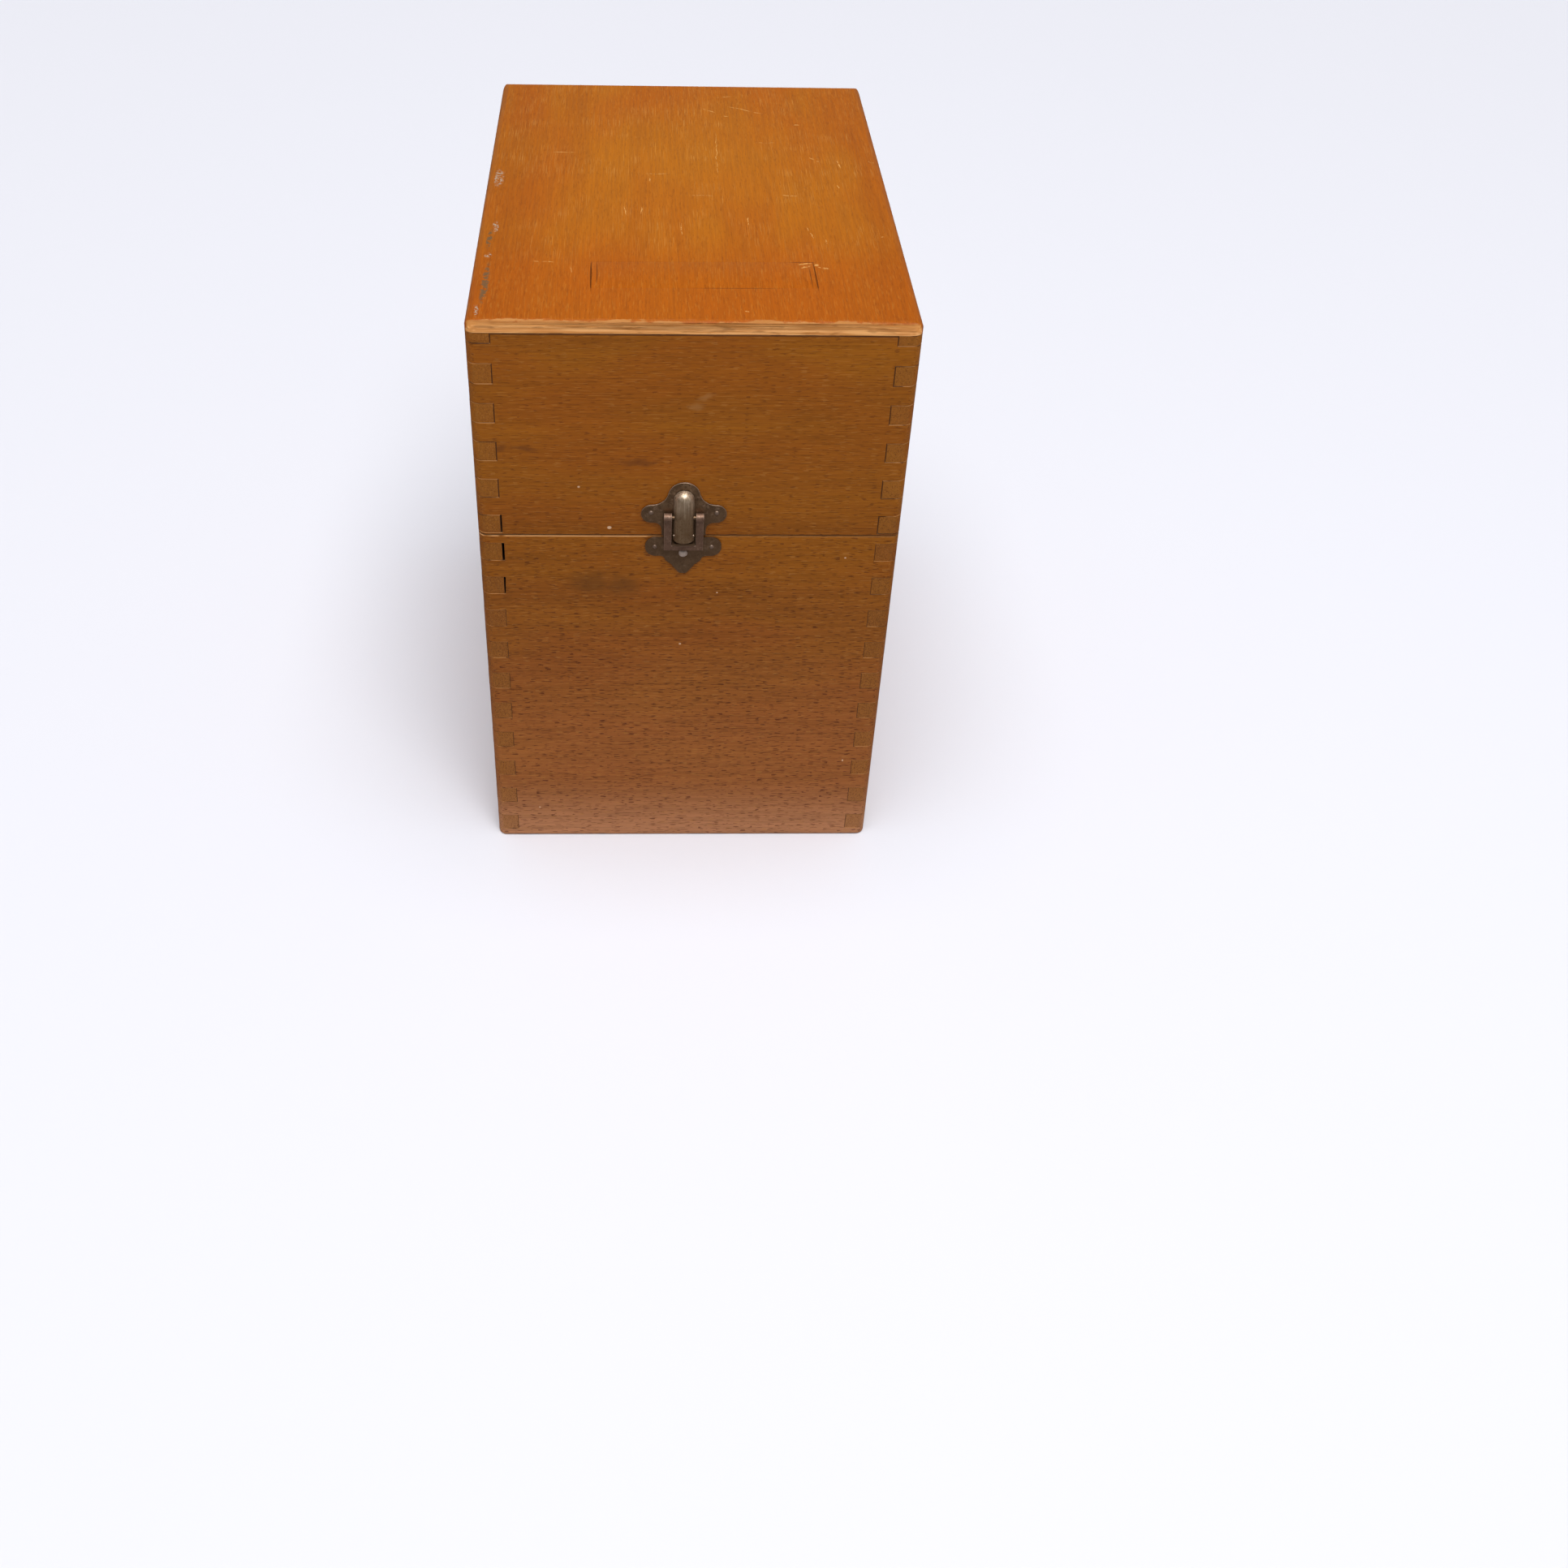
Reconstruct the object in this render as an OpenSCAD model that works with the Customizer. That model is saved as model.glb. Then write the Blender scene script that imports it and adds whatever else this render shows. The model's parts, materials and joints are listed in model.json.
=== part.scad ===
// Finger-jointed wooden box with a deep hinged lid and a toggle draw catch.
// Origin: centre of the underside. +X right, -Y front (catch side), +Z up. Millimetres.

/* [Box] */
// Outside width of the box, left to right
box_w = 200; // [160:1:260]
// Outside depth of the box, front to back
box_d = 280; // [220:1:340]
// Height of the closed box
box_h = 312; // [300:1:330]
// Thickness of the wall boards
board_t = 11; // [9:0.5:14]
// Thickness of the top panel
top_t = 6; // [5:0.5:8]
// Thickness of the bottom panel
bottom_t = 6; // [4:0.5:8]
// Depth of the rabbet that the bottom panel is glued into, flush with the walls' lower edge
rabbet = 5; // [3:0.5:6]
// Rounding of the vertical corners
corner_r = 4.5; // [2:0.5:6]
// Rounding of the top panel along its left and right edges
top_side_r = 4; // [1:0.5:5]
// Rounding of the top panel along its front and back edges
top_front_r = 3; // [1:0.5:4]

/* [Finger joints] */
// Height of one finger
finger = 10; // [8:0.5:14]
// Height of the lowest finger of the front board
first_finger = 5; // [3:0.5:7]
// Whole fingers of the side boards in the base
base_fingers = 10; // [8:1:11]
// Height that the saw left on the base of the finger it went through
cut_finger = 5; // [5:0.5:8]
// Height lost to saw and plane when the lid was cut from the box
kerf = 4; // [1:0.5:4.5]
// Gap left between the closed lid and the base
seam_gap = 0.3; // [0.2:0.05:0.5]

/* [Inlaid patch] */
// Width of the patch let into the top panel
patch_w = 102; // [60:1:140]
// Depth of the patch, front to back
patch_d = 26; // [15:1:40]
// Thickness of the patch
patch_t = 3; // [2:0.5:4]
// Distance of the patch centre to the right of the middle
patch_x = 5; // [-20:1:20]
// Distance from the front edge of the box to the patch
patch_inset = 32; // [20:1:60]
// Turn of the patch out of square, in degrees
patch_turn = 0.7; // [-3:0.1:3]

/* [Hinges] */
// Length of each butt hinge
hinge_len = 45; // [35:1:50]
// Distance of each hinge centre from the middle of the box
hinge_x = 58; // [50:1:62]
// Width of a leaf let into the rim
leaf_w = 9.5; // [8:0.5:10]
// Thickness of a leaf
leaf_t = 1.2; // [1:0.1:1.5]
// Outside radius of the knuckles
knuckle_r = 2.5; // [2.2:0.1:3]
// Radius of the hinge pin
hinge_pin_r = 1.2; // [1:0.1:1.4]

/* [Catch] */
// Sideways place of the catch; negative is left of the middle
catch_x = -3; // [-20:0.5:20]
// Sheet thickness of both plates
plate_t = 0.8; // [0.6:0.1:1]
// Outside radius of the half-round lever at its open foot
lever_r = 5.3; // [5.2:0.1:5.4]
// Outside radius of the lever at its domed tip
lever_tip_r = 4.7; // [4.5:0.1:4.9]
// Length of the lever above the seam
lever_top = 26; // [24:0.5:27]
// Radius of the pivot pin
pivot_r = 0.8; // [0.6:0.1:0.9]
// Radius of the bail pin
bail_pin_r = 0.9; // [0.7:0.1:1]
// Half the outside width of the bail
bail_half_w = 9.3; // [9.2:0.1:10]
// Width of each bail arm
bail_arm_w = 3.6; // [2.6:0.1:3.6]

/* [Hidden] */
$fn = 48;

wood = "#9a5a22";
panel_wood = "#b5692a";
end_wood = "#7d4a22";
bronze = "#5a4a3e";
worn_bronze = "#8a7462";

slack = 0.03;                 // radial play of every pin and nail in its hole
past = 1;                     // how far a cutter runs past the surface it cuts

// Heights
seam_z = first_finger + (2 * base_fingers - 1) * finger + cut_finger;
base_top = seam_z - seam_gap / 2;
lid_bottom = seam_z + seam_gap / 2;
wall_top = box_h - top_t;
lid_first = first_finger + 2 * base_fingers * finger - kerf;

// Hinge axis, just behind the back face and level with the seam
knuckle_gap = 0.2;
axis_y = box_d / 2 + knuckle_r + knuckle_gap;
knuckles = 5;
knuckle_len = hinge_len / knuckles;
screw_y = box_d / 2 - leaf_w / 2 - 0.3;
screw_pitch = 15;
screw_head_r = 2.1;
screw_shank_r = 1.1;
screw_len = 10;

// Catch, in its own frame: x sideways, y up from the seam, z outward from the front face
pivot = [2.2, 3.6];           // height and stand-off of the lever's pivot
bail_axis = [12, 3.0];        // height and stand-off of the bail's pin
lever_axis_z = 1.4;           // stand-off of the centre of the lever's round
lever_foot_z = 1.2;           // stand-off of the lever's open edge
lever_wall = 0.8;
lever_foot = -0.4;            // height of the lever's square end
heel = [1.2, 2.9];            // height and stand-off up to which the lever's heel is cut back
lug_x = 1.8;
lug_t = 0.8;
lug_r = 1.3;
bail_t = 1.2;
bail_bar = [-6.4, -3.8];      // lower and upper edge of the bail's cross bar
bail_knuckle_r = 2.1;
hook_half_w = 5.3;
hook_root = [-2.9, -1.9];     // underside and top of the hook where it leaves the plate
hook_reach = 4;
hook_slope = tan(10);
nail_r = 0.75;
nail_len = 9;
lid_nails = [[-15.4, 13.2], [15.4, 13.2]];
hook_nails = [[-13.5, -6.2], [13.5, -6.2]];
hook_dome = [0, -9.8];

// Height spans of the side-board fingers, and of the front-board fingers between them
function side_spans(first, z0, z1) =
    [for (a = [first : 2 * finger : z1]) if (a < z1) [a, min(a + finger, z1)]];
function front_spans(first, z0, z1) =
    [for (a = [first - finger : 2 * finger : z1])
        if (a + finger > z0 && a < z1) [max(a, z0), min(a + finger, z1)]];

// What is cut away to round the four vertical corners
module corner_waste(z0, z1) {
    for (k = [0 : 3]) {
        sx = (k == 0 || k == 3) ? 1 : -1;
        sy = k < 2 ? 1 : -1;
        translate([sx * (box_w / 2 - corner_r), sy * (box_d / 2 - corner_r), z0 - past])
            rotate(90 * k) difference() {
                cube([corner_r + past, corner_r + past, z1 - z0 + 2 * past]);
                translate([0, 0, -past]) cylinder(r = corner_r, h = z1 - z0 + 4 * past, $fn = 64);
            }
    }
}

// Slots in one corner of the box, at sign sx, sy, for a list of height spans
module corner_slots(sx, sy, spans) {
    for (s = spans)
        translate([
            sx > 0 ? box_w / 2 - board_t : -box_w / 2 - past,
            sy > 0 ? box_d / 2 - board_t : -box_d / 2 - past,
            s[0]
        ]) cube([board_t + past, board_t + past, s[1] - s[0]]);
}

module bottom_panel_block() {
    w = box_w - 2 * (board_t - rabbet);
    d = box_d - 2 * (board_t - rabbet);
    translate([-w / 2, -d / 2, 0]) cube([w, d, bottom_t]);
}

// A front or back board (sy picks which) with slots for the side boards' fingers
module front_or_back(sy, z0, z1, first) {
    difference() {
        translate([-box_w / 2, sy > 0 ? box_d / 2 - board_t : -box_d / 2, z0])
            cube([box_w, board_t, z1 - z0]);
        for (sx = [-1, 1]) corner_slots(sx, sy, side_spans(first, z0, z1));
        corner_waste(z0, z1);
        children();
    }
}

// A left or right board (sx picks which) with slots for the front and back boards' fingers
module side(sx, z0, z1, first) {
    difference() {
        translate([sx > 0 ? box_w / 2 - board_t : -box_w / 2, -box_d / 2, z0])
            cube([board_t, box_d, z1 - z0]);
        for (sy = [-1, 1]) corner_slots(sx, sy, front_spans(first, z0, z1));
        corner_waste(z0, z1);
        children();
    }
}

// ---- Base ----
module base_front_board() {
    color(wood) front_or_back(-1, 0, base_top, first_finger) {
        bottom_panel_block();
        catch_frame() {
            for (p = hook_nails) nail_hole(p);
            nail_hole(hook_dome);
        }
    }
}

module base_back_board() {
    color(wood) front_or_back(1, 0, base_top, first_finger) {
        bottom_panel_block();
        for (sx = [-1, 1]) {
            hinge_mortise(sx, -1);
            screw_holes(sx, -1);
        }
    }
}

module base_left_board() {
    color(wood) side(-1, 0, base_top, first_finger) bottom_panel_block();
}

module base_right_board() {
    color(wood) side(1, 0, base_top, first_finger) bottom_panel_block();
}

module base_bottom_panel() {
    color(panel_wood) bottom_panel_block();
}

// ---- Lid ----
module lid_front_board() {
    color(wood) front_or_back(-1, lid_bottom, wall_top, lid_first)
        catch_frame() for (p = lid_nails) nail_hole(p);
}

module lid_back_board() {
    color(wood) front_or_back(1, lid_bottom, wall_top, lid_first)
        for (sx = [-1, 1]) {
            hinge_mortise(sx, 1);
            screw_holes(sx, 1);
        }
}

module lid_left_board() {
    color(wood) side(-1, lid_bottom, wall_top, lid_first);
}

module lid_right_board() {
    color(wood) side(1, lid_bottom, wall_top, lid_first);
}

// What is cut away to round a long edge that runs along local Z
module edge_waste(r, len) {
    translate([-r, -r, 0]) difference() {
        translate([0, 0, -past]) cube([r + past, r + past, len + 2 * past]);
        translate([0, 0, -2 * past]) cylinder(r = r, h = len + 4 * past, $fn = 64);
    }
}

module patch_block(grow) {
    translate([patch_x, -box_d / 2 + patch_inset + patch_d / 2, box_h - patch_t - grow])
        rotate(patch_turn)
            translate([-patch_w / 2 - grow, -patch_d / 2 - grow, 0])
                cube([patch_w + 2 * grow, patch_d + 2 * grow, patch_t + (grow > 0 ? past : 0)]);
}

module lid_top_panel() {
    color(panel_wood) difference() {
        translate([-box_w / 2, -box_d / 2, wall_top]) cube([box_w, box_d, top_t]);
        corner_waste(wall_top, box_h);
        for (a = [0, 180]) rotate(a) {
            translate([box_w / 2, box_d / 2, box_h]) rotate([90, 0, 0])
                edge_waste(top_side_r, box_d);
            translate([-box_w / 2, box_d / 2, box_h]) rotate([0, 90, 0])
                rotate(90) edge_waste(top_front_r, box_w);
        }
        patch_block(0.05);
    }
}

module lid_inlaid_patch() {
    color(end_wood) patch_block(0);
}

// ---- Hinges: sx is -1 left or 1 right, up is -1 for the base leaf and 1 for the lid leaf ----
module hinge_mortise(sx, up) {
    play = 0.1;
    h = leaf_t + play;
    translate([
        sx * hinge_x - hinge_len / 2 - play,
        box_d / 2 - leaf_w - play,
        up > 0 ? lid_bottom - past : base_top - h
    ]) cube([hinge_len + 2 * play, leaf_w + play + past, h + past]);
}

// Places its children at the three screws of one leaf, pointing into the board
module at_screws(sx, up) {
    for (k = [-1 : 1])
        translate([sx * hinge_x + k * screw_pitch, screw_y, up > 0 ? lid_bottom : base_top])
            rotate([up > 0 ? 0 : 180, 0, 0]) children();
}

module screw_holes(sx, up) {
    at_screws(sx, up) cylinder(r = screw_shank_r + slack, h = screw_len + 0.2);
}

// Knuckles of one leaf: the base leaf has the outer and middle ones, the lid leaf the two between
module leaf_knuckles(sx, up) {
    play = 0.1;
    first = up > 0 ? 1 : 0;
    for (k = [first : 2 : knuckles - 1])
        translate([sx * hinge_x - hinge_len / 2 + k * knuckle_len + play, 0, 0]) {
            translate([0, axis_y, seam_z]) rotate([0, 90, 0])
                cylinder(r = knuckle_r, h = knuckle_len - 2 * play);
            translate([0, box_d / 2 - 1, up > 0 ? lid_bottom : base_top - leaf_t])
                cube([knuckle_len - 2 * play, knuckle_r + knuckle_gap + 1, leaf_t]);
        }
}

module hinge_leaf(sx, up) {
    color(bronze) difference() {
        union() {
            translate([
                sx * hinge_x - hinge_len / 2,
                box_d / 2 - leaf_w,
                up > 0 ? lid_bottom : base_top - leaf_t
            ]) cube([hinge_len, leaf_w, leaf_t]);
            leaf_knuckles(sx, up);
        }
        translate([sx * hinge_x - hinge_len / 2 - past, axis_y, seam_z]) rotate([0, 90, 0])
            cylinder(r = hinge_pin_r + slack, h = hinge_len + 2 * past);
        at_screws(sx, up) {
            translate([0, 0, -past]) cylinder(r = screw_shank_r + slack, h = leaf_t + 2 * past);
            screw_head(slack);
        }
    }
}

// Countersunk head, flush with the leaf
module screw_head(grow) {
    cylinder(r1 = screw_head_r + grow, r2 = screw_shank_r + grow, h = leaf_t);
}

module hinge_pin(sx) {
    head_r = 1.9;
    head_t = 0.6;
    color(worn_bronze) translate([sx * hinge_x, axis_y, seam_z]) rotate([0, 90, 0]) {
        cylinder(r = hinge_pin_r, h = hinge_len, center = true);
        for (s = [-1, 1]) translate([0, 0, s * (hinge_len + head_t) / 2])
            cylinder(r = head_r, h = head_t, center = true);
    }
}

module screws(up) {
    slot_w = 0.5;
    slot_d = 0.4;
    color(worn_bronze) for (sx = [-1, 1]) at_screws(sx, up) difference() {
        union() {
            screw_head(0);
            cylinder(r = screw_shank_r, h = screw_len);
        }
        translate([-screw_head_r - past, -slot_w / 2, -past])
            cube([2 * (screw_head_r + past), slot_w, slot_d + past]);
    }
}

module hinge_left_base_leaf() { hinge_leaf(-1, -1); }
module hinge_left_lid_leaf() { hinge_leaf(-1, 1); }
module hinge_left_pin() { hinge_pin(-1); }
module hinge_right_base_leaf() { hinge_leaf(1, -1); }
module hinge_right_lid_leaf() { hinge_leaf(1, 1); }
module hinge_right_pin() { hinge_pin(1); }
module hinge_base_screws() { screws(-1); }
module hinge_lid_screws() { screws(1); }

// ---- Catch ----
module catch_frame() {
    translate([catch_x, -box_d / 2, seam_z]) rotate([90, 0, 0]) children();
}

// A shaft along x through a point given as [height, stand-off]
module cross_shaft(at, r, half_len) {
    translate([-half_len, at[0], at[1]]) rotate([0, 90, 0]) cylinder(r = r, h = 2 * half_len);
}

module nail_hole(p) {
    translate([p[0], p[1], -nail_len - 0.1]) cylinder(r = nail_r + slack, h = nail_len + past);
}

// A nail at p whose domed head of radius head_r and height head_h sits on the plate
module nail(p, head_r, head_h) {
    ball_r = (head_r * head_r + head_h * head_h) / (2 * head_h);
    translate([p[0], p[1], 0]) {
        translate([0, 0, -nail_len]) cylinder(r = nail_r, h = nail_len + plate_t + 0.2);
        difference() {
            translate([0, 0, plate_t + head_h - ball_r]) sphere(r = ball_r);
            translate([-ball_r - past, -ball_r - past, plate_t - 2 * ball_r - past])
                cube([2 * (ball_r + past), 2 * (ball_r + past), 2 * ball_r + past]);
        }
    }
}

// Square with its outer corner hollowed to a quarter circle: an inside fillet between two edges
module fillet(x, y, dx, dy, r) {
    difference() {
        translate([dx > 0 ? x : x - r, dy > 0 ? y : y - r]) square(r);
        translate([x + dx * r, y + dy * r]) circle(r = r, $fn = 64);
    }
}

// Arched plate with a nailing ear each side, narrowing to a neck at the seam
module lid_plate_outline() {
    arch_r = 7.5;
    arch_y = 22.4;
    ear_y = 12.5;
    ear_r = 4.9;
    ear_top = ear_y + ear_r;
    neck = 10.4;
    foot = 0.4;
    sweep_r = 8;
    // The ear stands where a sweep that touches the arch also touches the ear's top
    ear_x = sqrt(pow(arch_r + sweep_r, 2) - pow(ear_top + sweep_r - arch_y, 2));
    translate([0, arch_y]) circle(r = arch_r, $fn = 64);
    translate([-arch_r, foot]) square([2 * arch_r, arch_y - foot]);
    translate([-neck, foot]) square([2 * neck, ear_y - foot]);
    translate([-ear_x, ear_y - ear_r]) square([2 * ear_x, 2 * ear_r]);
    for (s = [-1, 1]) {
        translate([s * ear_x, ear_y]) circle(r = ear_r, $fn = 64);
        difference() {
            polygon([
                [0, arch_y], [s * ear_x, ear_top + sweep_r], [s * ear_x, ear_top], [0, ear_top]
            ]);
            translate([s * ear_x, ear_top + sweep_r]) circle(r = sweep_r, $fn = 64);
        }
        fillet(s * neck, ear_y - ear_r, s, -1, 4);
    }
}

module catch_lid_plate() {
    color(bronze) catch_frame() {
        linear_extrude(plate_t) difference() {
            lid_plate_outline();
            for (p = lid_nails) translate(p) circle(r = nail_r + slack);
        }
        difference() {
            for (s = [-1, 1]) translate([s > 0 ? lug_x : -lug_x - lug_t, 0, 0]) {
                translate([0, pivot[0] - lug_r, plate_t / 2])
                    cube([lug_t, 2 * lug_r, pivot[1] - plate_t / 2]);
                translate([0, pivot[0], pivot[1]]) rotate([0, 90, 0])
                    cylinder(r = lug_r, h = lug_t);
            }
            cross_shaft(pivot, pivot_r + slack, lever_r);
            translate([-lever_r, pivot[0] - 2 * lug_r, -past])
                cube([2 * lever_r, 4 * lug_r, past]);
        }
    }
}

module catch_lid_plate_nails() {
    color(worn_bronze) catch_frame() for (p = lid_nails) nail(p, 1.15, 0.65);
}

module catch_pivot_pin() {
    color(worn_bronze) catch_frame() cross_shaft(pivot, pivot_r, lever_r - 0.5);
}

// Tapered round with a domed tip, smaller than the lever's outside by inset; it starts at foot
module lever_round(inset, foot) {
    dome = lever_top - lever_tip_r;
    taper = (lever_r - lever_tip_r) / (dome - lever_foot);
    translate([0, foot, lever_axis_z]) rotate([-90, 0, 0])
        cylinder(
            r1 = lever_r + taper * (lever_foot - foot) - inset, r2 = lever_tip_r - inset,
            h = dome - foot, $fn = 64
        );
    translate([0, dome, lever_axis_z]) sphere(r = lever_tip_r - inset, $fn = 64);
}

// A block as wide as the lever, from the plate side out to stand-off z1, between two heights
module lever_cut(y0, y1, z1) {
    translate([-lever_r - past, y0, lever_axis_z - lever_r - past])
        cube([2 * (lever_r + past), y1 - y0, z1 - lever_axis_z + lever_r + past]);
}

module catch_lever() {
    color(worn_bronze) catch_frame() difference() {
        lever_round(0, lever_foot);
        lever_round(lever_wall, lever_foot - past);
        lever_cut(lever_foot - past, lever_top + past, lever_foot_z);
        lever_cut(lever_foot - past, heel[0], heel[1]);
        cross_shaft(pivot, pivot_r + slack, lever_r + past);
        cross_shaft(bail_axis, bail_pin_r + slack, lever_r + past);
    }
}

module catch_bail_pin() {
    color(worn_bronze) catch_frame() cross_shaft(bail_axis, bail_pin_r, bail_half_w + 0.1);
}

module catch_bail() {
    color(bronze) catch_frame() difference() {
        union() {
            for (s = [-1, 1]) {
                x0 = s > 0 ? bail_half_w - bail_arm_w : -bail_half_w;
                translate([x0, bail_bar[0], bail_axis[1] - bail_t / 2])
                    cube([bail_arm_w, bail_axis[0] - bail_bar[0], bail_t]);
                translate([x0, bail_axis[0], bail_axis[1]]) rotate([0, 90, 0])
                    cylinder(r = bail_knuckle_r, h = bail_arm_w);
            }
            translate([-bail_half_w, bail_bar[0], bail_axis[1] - bail_t / 2])
                cube([2 * bail_half_w, bail_bar[1] - bail_bar[0], bail_t]);
        }
        cross_shaft(bail_axis, bail_pin_r + slack, bail_half_w + past);
    }
}

// Plate with a straight top edge, a nailing ear each side and a pointed tip
module hook_plate_outline() {
    top = -0.8;
    ear = [13.2, -6.6];
    ear_r = 4.9;
    body = 8.4;
    shoulder = [5.6, -16.4];
    waist = [2.8, -20.3];
    tip = [1.4, -21.6];
    translate([-ear[0], ear[1] - ear_r]) square([2 * ear[0], top - ear[1] + ear_r]);
    for (s = [-1, 1]) {
        for (y = [ear[1], top - ear_r]) translate([s * ear[0], y]) circle(r = ear_r, $fn = 64);
        translate([s * (ear[0] + ear_r / 2), (ear[1] + top - ear_r) / 2])
            square([ear_r, top - ear_r - ear[1]], center = true);
        fillet(s * body, ear[1] - ear_r, s, -1, 2.8);
    }
    half = [[body, ear[1]], [body, -14.2], shoulder, waist, tip];
    polygon([for (s = [-1, 1], k = [0 : 4]) let (p = half[s < 0 ? k : 4 - k]) [s * p[0], p[1]]]);
}

module catch_hook_plate() {
    color(bronze) catch_frame() {
        linear_extrude(plate_t) difference() {
            hook_plate_outline();
            for (p = hook_nails) translate(p) circle(r = nail_r + slack);
            translate(hook_dome) circle(r = nail_r + slack);
        }
        drop = (hook_reach - plate_t) * hook_slope;
        translate([-hook_half_w, 0, 0]) rotate([90, 0, 90]) linear_extrude(2 * hook_half_w)
            polygon([
                [hook_root[0], plate_t / 2], [hook_root[0], plate_t],
                [hook_root[0] - drop, hook_reach], [hook_root[1] - drop, hook_reach],
                [hook_root[1], plate_t], [hook_root[1], plate_t / 2]
            ]);
    }
}

module catch_hook_plate_nails() {
    color(worn_bronze) catch_frame() {
        for (p = hook_nails) nail(p, 1.15, 0.65);
        nail(hook_dome, 2.2, 1.4);
    }
}

base_front_board();
base_back_board();
base_left_board();
base_right_board();
base_bottom_panel();
lid_front_board();
lid_back_board();
lid_left_board();
lid_right_board();
lid_top_panel();
lid_inlaid_patch();
hinge_left_base_leaf();
hinge_left_lid_leaf();
hinge_left_pin();
hinge_right_base_leaf();
hinge_right_lid_leaf();
hinge_right_pin();
hinge_base_screws();
hinge_lid_screws();
catch_lid_plate();
catch_lid_plate_nails();
catch_pivot_pin();
catch_lever();
catch_bail_pin();
catch_bail();
catch_hook_plate();
catch_hook_plate_nails();
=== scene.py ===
"""Looks of a tall finger-jointed wooden box with a deep hinged lid and a toggle draw catch."""

import json
import math
import random

import bmesh
import bpy
from mathutils import Matrix, Vector, noise


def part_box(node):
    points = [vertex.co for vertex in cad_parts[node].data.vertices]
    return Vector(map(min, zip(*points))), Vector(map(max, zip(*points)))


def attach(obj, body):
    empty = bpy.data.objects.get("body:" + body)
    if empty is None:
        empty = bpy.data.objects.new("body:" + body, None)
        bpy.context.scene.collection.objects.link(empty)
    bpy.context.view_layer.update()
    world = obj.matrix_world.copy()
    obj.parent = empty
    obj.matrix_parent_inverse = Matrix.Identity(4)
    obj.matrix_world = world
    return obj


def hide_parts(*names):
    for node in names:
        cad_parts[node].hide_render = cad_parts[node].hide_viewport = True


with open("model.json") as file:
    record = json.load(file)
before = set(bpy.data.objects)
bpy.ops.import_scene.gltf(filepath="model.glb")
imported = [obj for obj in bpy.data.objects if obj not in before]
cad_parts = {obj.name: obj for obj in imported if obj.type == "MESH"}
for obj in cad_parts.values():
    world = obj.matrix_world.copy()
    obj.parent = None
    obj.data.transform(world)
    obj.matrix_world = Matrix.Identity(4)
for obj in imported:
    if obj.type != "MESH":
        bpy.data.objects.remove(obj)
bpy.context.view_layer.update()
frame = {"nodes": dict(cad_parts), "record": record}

MM = 0.001
NODES = frame["nodes"]
BODIES = frame["record"]["behaviour"]["bodies"]
BODY_OF = {node: body for body, members in BODIES.items() for node in members}
SLOT_OF = {part["node"]: part["material_slot"] for part in frame["record"]["subparts"]}

# Places on the box, in millimetres, read from the frame
BASE_LO, BASE_HI = (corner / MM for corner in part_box("base_left_board"))
LID_LO, LID_HI = (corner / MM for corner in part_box("lid_top_panel"))
PATCH_LO, PATCH_HI = (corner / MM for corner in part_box("lid_inlaid_patch"))
BOARD = BASE_HI.x - BASE_LO.x
SIDE_X = LID_HI.x
BACK_Y = LID_HI.y
FRONT_Y = -BACK_Y
SEAM_Z = BASE_HI.z
WALL_TOP = LID_LO.z
PATCH_MIDDLE = (PATCH_LO + PATCH_HI) / 2
PATCH_TURN = 0.7  # degrees
NEAR = 5  # how far from an outer face something still counts as lying along it


# ---- Node trees ----
MIX_FACTOR, MIX_A, MIX_B, MIX_RESULT = 0, 6, 7, 2  # the colour sockets of a Mix node


def add_node(tree, kind, inputs=None, **settings):
    """Adds a shader node. inputs maps a socket's name or number to a value or to an output socket."""
    made = tree.nodes.new("ShaderNode" + kind)
    for key, value in settings.items():
        setattr(made, key, value)
    for key, value in (inputs or {}).items():
        if isinstance(value, bpy.types.NodeSocket):
            tree.links.new(value, made.inputs[key])
        else:
            made.inputs[key].default_value = value
    return made


def mix_colour(tree, factor, a, b, mode="MIX"):
    a, b = (c if isinstance(c, bpy.types.NodeSocket) else (*c, 1) for c in (a, b))
    inputs = {MIX_FACTOR: factor, MIX_A: a, MIX_B: b}
    return add_node(tree, "Mix", inputs, data_type="RGBA", blend_type=mode).outputs[MIX_RESULT]


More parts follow.
